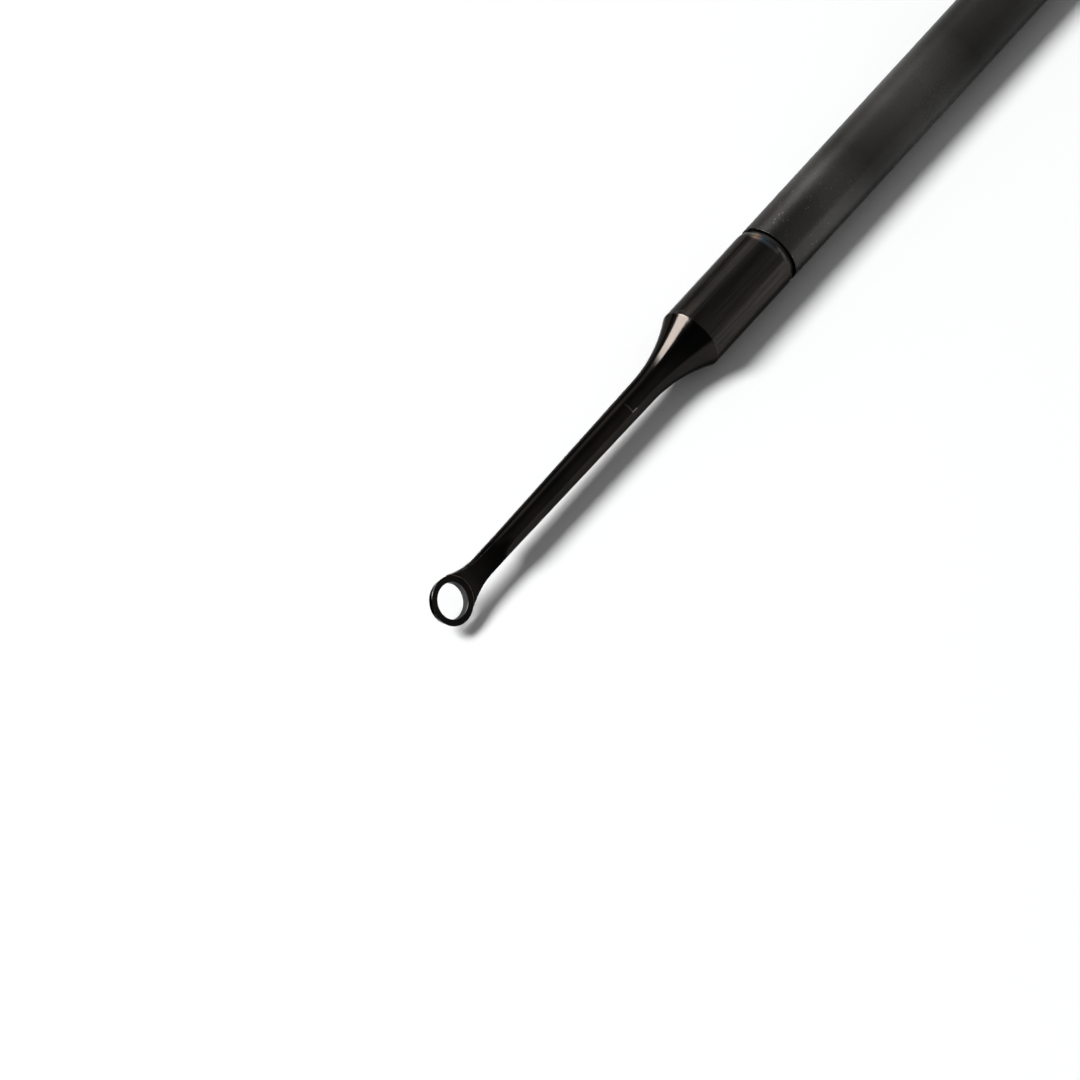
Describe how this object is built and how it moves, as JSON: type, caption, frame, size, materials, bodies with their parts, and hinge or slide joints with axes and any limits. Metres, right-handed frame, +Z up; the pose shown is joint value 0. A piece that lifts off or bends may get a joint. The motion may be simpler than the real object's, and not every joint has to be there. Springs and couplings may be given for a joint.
{
  "type": "manicure needle tool",
  "caption": "Slim round hand tool for nail and cuticle care: a flat ring tip at one end, a capped needle tip at the other, both screwed into a satin handle.",
  "frame": {"origin": "under the middle of the whole tool, on the surface that the handle rests on", "axes": "+X along the tool from the ring tip to the needle tip, +Z up, +Y completes the right-handed set"},
  "size_m": [0.182, 0.007, 0.0069],
  "materials": {
    "satin_black_coating": "satin",
    "gloss_black_coating": "gloss",
    "black_rubber": "matte",
    "plain_steel": "turned",
    "bright_steel": "ground and polished",
    "clear_plastic": "gloss"
  },
  "bodies": {
    "handle": {"handle_tube": "satin_black_coating", "front_socket": "plain_steel", "rear_socket": "plain_steel"},
    "front_seal": {"front_seal_ring": "black_rubber"},
    "front_tip": {"front_tip_body": "gloss_black_coating", "cutting_ring": "gloss_black_coating"},
    "rear_seal": {"rear_seal_ring": "black_rubber"},
    "rear_tip": {"rear_tip_body": "gloss_black_coating", "needle": "bright_steel"},
    "cap": {"needle_cap": "clear_plastic"}
  },
  "joints": [
    {"name": "front_tip_travel", "type": "slide", "parent": "handle", "child": "front_seal", "axis": [-1, 0, 0], "range_m": [0, 0.0056]},
    {"name": "front_tip_turn", "type": "hinge", "parent": "front_seal", "child": "front_tip", "pos_m": [-0.03311, 0, 0.00347], "axis": [-1, 0, 0], "range_deg": [0, 2880]},
    {"name": "rear_tip_travel", "type": "slide", "parent": "handle", "child": "rear_seal", "axis": [1, 0, 0], "range_m": [0, 0.0056]},
    {"name": "rear_tip_turn", "type": "hinge", "parent": "rear_seal", "child": "rear_tip", "pos_m": [0.05189, 0, 0.00347], "axis": [1, 0, 0], "range_deg": [0, 2880]},
    {"name": "needle_cap_pull", "type": "slide", "parent": "rear_tip", "child": "cap", "axis": [1, 0, 0], "range_m": [0, 0.0165]}
  ],
  "couplings": [
    {"joint": "front_tip_turn", "follows": "front_tip_travel", "rad_per_m": 8976},
    {"joint": "rear_tip_turn", "follows": "rear_tip_travel", "rad_per_m": 8976}
  ]
}
